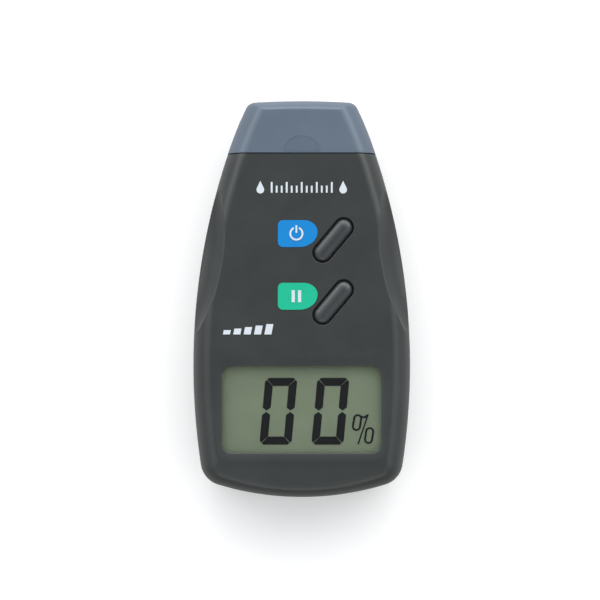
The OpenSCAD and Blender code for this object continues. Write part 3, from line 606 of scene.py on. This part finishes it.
def rear_shell():
    shell = round_edges(outer_back(), EDGE_R)
    hollow = combine(body_prism(WALL + LOW_INSET, FLOOR_Z, LOW_TOP + 0.05, SEAM_Y - WALL),
                     [block([-RAISED_HALF_W, -HALF_LEN, 0], [RAISED_HALF_W, RAISED_Y1, RAISED_TOP])])
    combine(shell, [hollow, body_prism(WALL, LOW_TOP, PARTING_Z + PLAY, SEAM_Y - WALL)])
    lip = body_prism(LIP_IN, PARTING_Z - LIP_ROOT, PARTING_Z + LIP_UP, SEAM_Y - LIP_IN)
    combine(lip, [body_prism(WALL, PARTING_Z - PLAY, PARTING_Z + (LIP_UP + PLAY), SEAM_Y - WALL),
                  block([-LIP_GAP_HALF_W, SEAM_Y - LIP_GAP_LEN, 0], [LIP_GAP_HALF_W, SEAM_Y, FACE_Z]),
                  scoop(-1, SCOOP_WALL + LIP_PLAY), scoop(1, SCOOP_WALL + LIP_PLAY)])
    posts = [pillar(at, [(REAR_POST_R, FLOOR_Z - POST_ROOT), (REAR_POST_R, REAR_POST_TOP_Z)], 16)
             for at in CASE_SCREWS]
    bay = block([-BAY_HALF_W - BAY_WALL, BAY_Y0 - BAY_WALL, FLOOR_Z],
                [BAY_HALF_W + BAY_WALL, BAY_Y1 + BAY_WALL, BAY_TOP + BAY_ROOF])
    combine(shell, [lip, bay] + posts, "UNION")
    holes = [pillar(at, [(SHANK_R, -PLAY), (SHANK_R, PARTING_Z + PLAY)]) for at in CASE_SCREWS]
    bore = [(-d, z) for d, z in flare_down(0, HEAD_EDGE_R)] + [(0, HEAD_DEPTH)]
    holes += [pillar(at, [(HEAD_R + d, z) for d, z in bore], 20) for at in CASE_SCREWS]
    holes.append(block([-BAY_HALF_W, BAY_Y0, -PLAY], [BAY_HALF_W, BAY_Y1, BAY_TOP]))
    holes.append(block([-LEAD_GAP_HALF_W, BAY_Y1 - PLAY, LEAD_GAP_Z],
                       [LEAD_GAP_HALF_W, BAY_Y1 + BAY_WALL + PLAY, BAY_TOP]))
    w, top, y1 = DOOR_HALF_W + DOOR_PLAY, DOOR_T + DOOR_PLAY, DOOR_Y1 + DOOR_PLAY
    holes.append(near_end_slab(w, y1, DOOR_HOLE_CORNER, flare_down(0, DOOR_EDGE_R) + [(0, top)]))
    holes.append(block([-w - TONGUE_W, -HALF_LEN - PLAY, DOOR_T - TONGUE_T - DOOR_PLAY],
                       [w + TONGUE_W, y1, top]))
    holes.append(block(NECK_CUT_LOW, NECK_CUT_HIGH))
    holes.append(parting_groove(PARTING_Z - GROOVE_H, PARTING_Z + SLIVER))
    return combine(shell, holes)


def door():
    shape = outer_back()
    t = np.linspace(0, math.pi / 2, 6)
    r = DOOR_EDGE_R
    profile = [(r, -PLAY)] + [(r * (1 - math.sin(a)), r * (1 - math.cos(a))) for a in t] + [(0, DOOR_T)]
    combine(shape, [near_end_slab(DOOR_HALF_W, DOOR_Y1, DOOR_CORNER, profile)], "INTERSECT")
    # the right tongue stops TONGUE_SHORT nearer the middle than the left one
    tongues = []
    for s, short in ((-1, 0), (1, TONGUE_SHORT)):
        x = s * (DOOR_HALF_W + TONGUE_W / 2)
        x0, x1 = x - TONGUE_W / 2 - TONGUE_ROOT, x + TONGUE_W / 2 + TONGUE_ROOT - short
        tongues.append(block([x0, TONGUE_Y0, DOOR_T - TONGUE_T], [x1, TONGUE_Y1 - SLIVER, DOOR_T - LEAST]))
    combine(shape, tongues, "UNION")
    lines = []
    a = np.linspace(-math.pi / 2, math.pi / 2, 15)
    rings = [round_half(2 * (THUMB_R * math.cos(b) + LEAST), THUMB_LEN + 2 * THUMB_R * math.cos(b), THUMB_R)
             for b in a]
    for i in range(THUMB_LINES):
        turned = spot(0, THUMB_Y + THUMB_PITCH * i, 0, math.pi / 2)
        lines.append(solid("line", rings, THUMB_R * np.sin(a), turned))
    return combine(shape, lines)


def cap():
    back = [(BACK_W * (1 - math.cos(t)), CAP_END_ROUND * (1 - math.cos(t)), BACK_H * (1 - math.sin(t)))
            for t in np.linspace(math.pi / 2, 0, BACK_POINTS)]
    front = [(d, d * CAP_END_ROUND / SHOULDER_W, z)
             for d, z in quarter(SHOULDER_W, SHOULDER_H, PARTING_Z, SHOULDER_STEPS)]
    section = back + front
    skin = solid("cap", [cap_half(d, e) for d, e, _ in section], [z for _, _, z in section])
    shape = round_edges(skin, CAP_EDGE_R)
    hollow = solid("hollow", [cap_half(d, e, CAP_Y0 - PLAY) for d, e, _ in CAP_INSIDE],
                   [z for _, _, z in CAP_INSIDE])
    combine(shape, [hollow])
    ribs = []
    for x in RIB_X:
        x0, x1, y0 = x - RIB_HALF_W, x + RIB_HALF_W, CAP_Y0 + RIB_SETBACK
        ribs.append(block([x0, y0, RIB_LOW_Z], [x1, NECK_Y1, HEAD_Z - RIB_HALF_GAP]))
        ribs.append(block([x0, y0, HEAD_Z + RIB_HALF_GAP], [x1, NECK_Y1, RIB_HIGH_Z]))
    combine(shape, ribs, "UNION")
    tilt = spot(0, CAP_Y0 - DISH_BACK, FACE_Z) @ Matrix.Rotation(DISH_SLOPE, 4, "X")
    low = -DISH_R * math.sin(DISH_SLOPE) - DISH_FAR_DEPTH
    wall = [(DISH_R - DISH_SOFT * (1 - x), low + DISH_RISE * x * x * (1.6 - 0.6 * x))
            for x in np.linspace(0, 1, 9)]
    wall.append((DISH_R, 3))
    dish = solid("dish", [round_half(2 * q, 2 * q, q, 32) for q, _ in wall], [z for _, z in wall], tilt)
    return combine(shape, [dish])


def key_shape(at):
    """Long domed key on its flange."""
    w, h = 2 * KEY_R, 2 * KEY_R + KEY_SPAN
    t = np.linspace(0, math.pi / 2, 17)
    profile = [(-FLANGE_EXTRA, KEY_LOW), (-FLANGE_EXTRA, KEY_LOW + FLANGE_T), (0, KEY_LOW + FLANGE_T)]
    profile += [(KEY_R * (1 - math.cos(a)), KEY_TOP - KEY_DOME + KEY_DOME * math.sin(a) ** KEY_FULL) for a in t]
    rings = []
    for d, _ in profile:
        d = min(d, KEY_R - LEAST)
        rings.append(round_half(w - 2 * d, h - 2 * d, KEY_R - d, 20))
    return solid("key", rings, [z for _, z in profile], spot(at[0], at[1], 0, KEY_TURN))


finish(front_shell(), "case_front", "housing", ["front_case"], MATERIALS["case_plastic"])
finish(rear_shell(), "case_rear", "housing", ["rear_case"], MATERIALS["case_plastic"])
finish(door(), "door_panel", "door", ["battery_door"], MATERIALS["case_plastic"])
finish(cap(), "cap_shell", "cap", ["pin_cap"], MATERIALS["cap_plastic"])
for key_name, body, at in zip(("power_key", "hold_key"), ("power_button", "hold_button"), KEY_AT):
    finish(key_shape(at), key_name + "_domed", body, [key_name], MATERIALS["key_plastic"], 50)


# ---- floor, light and camera ----

FLOOR_RADIUS, FLOOR_DROP = 30.0, -0.0002
WORLD_LIGHT, WORLD_LEAN = 1.25, 0.6
WORLD_STOPS = [(0.0, 0.45), (0.03, 0.65), (0.4, 1.0), (0.82, 1.0), (0.95, 0.16)]


def floor():
    """Pale disc just under the part. It takes the part's shadow, but the part doesn't mirror it."""
    bm = bmesh.new()
    bmesh.ops.create_circle(bm, cap_ends=True, segments=96, radius=FLOOR_RADIUS)
    bmesh.ops.translate(bm, verts=bm.verts, vec=(0, 0, FLOOR_DROP))
    obj = mesh_object("floor", bm)
    n = Nodes("floor")
    obj.data.materials.append(n.principled({
        "Base Color": n.ramp(n.noise(3, 2), [(0.3, (0.90, 0.90, 0.90)), (0.7, (0.93, 0.93, 0.93))]),
        "Roughness": 0.9, "Specular IOR Level": 0.1, "Emission Color": (1, 1, 1, 1),
        "Emission Strength": 0.12}))
    obj.visible_glossy = obj.visible_diffuse = False


def panel(name, at, aim, size, power):
    """Soft rectangular light at a place, turned towards aim."""
    data = bpy.data.lights.new(name, "AREA")
    data.shape, data.size, data.size_y, data.energy = "RECTANGLE", size[0], size[1], power
    obj = bpy.data.objects.new(name, data)
    obj.location = at
    obj.rotation_euler = (Vector(aim) - Vector(at)).to_track_quat("-Z", "Y").to_euler()
    bpy.context.scene.collection.objects.link(obj)


def studio():
    """World light: dark straight above, where the camera is, bright round it, dimmer at the horizon,
    and a little stronger from the far side."""
    world = bpy.data.worlds.new("studio")
    world.use_nodes = True
    tree = world.node_tree
    back = tree.nodes["Background"]
    place = tree.nodes.new("ShaderNodeTexCoord").outputs["Generated"]
    split = tree.nodes.new("ShaderNodeSeparateXYZ")
    ramp = tree.nodes.new("ShaderNodeValToRGB")
    lean = tree.nodes.new("ShaderNodeMath")
    lean.operation = "MULTIPLY_ADD"
    lean.inputs[1].default_value, lean.inputs[2].default_value = WORLD_LEAN, WORLD_LIGHT
    while len(ramp.color_ramp.elements) < len(WORLD_STOPS):
        ramp.color_ramp.elements.new(0.5)
    for element, (at, level) in zip(ramp.color_ramp.elements, WORLD_STOPS):
        element.position, element.color = at, (level * 0.98, level * 0.99, level, 1)
    tree.links.new(place, split.inputs[0])
    tree.links.new(split.outputs["Z"], ramp.inputs["Fac"])
    tree.links.new(split.outputs["Y"], lean.inputs[0])
    tree.links.new(ramp.outputs["Color"], back.inputs["Color"])
    tree.links.new(lean.outputs[0], back.inputs["Strength"])
    bpy.context.scene.world = world


floor()
studio()
panel("left", (-0.62, 0.50, 0.34), (0, 0.01, 0.02), (0.6, 0.30), 1.8)
panel("right", (0.62, 0.50, 0.34), (0, 0.01, 0.02), (0.6, 0.30), 2.4)
panel("far", (0.0, 0.95, 0.36), (0, 0, 0.02), (0.9, 0.35), 5.2)
panel("near", (0.0, -0.95, 0.30), (0, 0, 0.02), (0.9, 0.30), 1.5)
bpy.context.scene.view_settings.view_transform = "Standard"

CAMERA_AXIS = Vector((-0.00052, -0.00024, 0))
SENSOR, FRAME_W, DISTANCE, FOCUS_Z = 36.0, 0.1824, 1.0, 0.013
camera = bpy.data.cameras.new("camera")
camera.sensor_width = SENSOR
camera.lens = SENSOR * DISTANCE / FRAME_W
camera.clip_start, camera.clip_end = 0.01, 20
view = bpy.data.objects.new("camera", camera)
view.location = CAMERA_AXIS + Vector((0, 0, DISTANCE + FOCUS_Z))
bpy.context.scene.collection.objects.link(view)
bpy.context.scene.camera = view
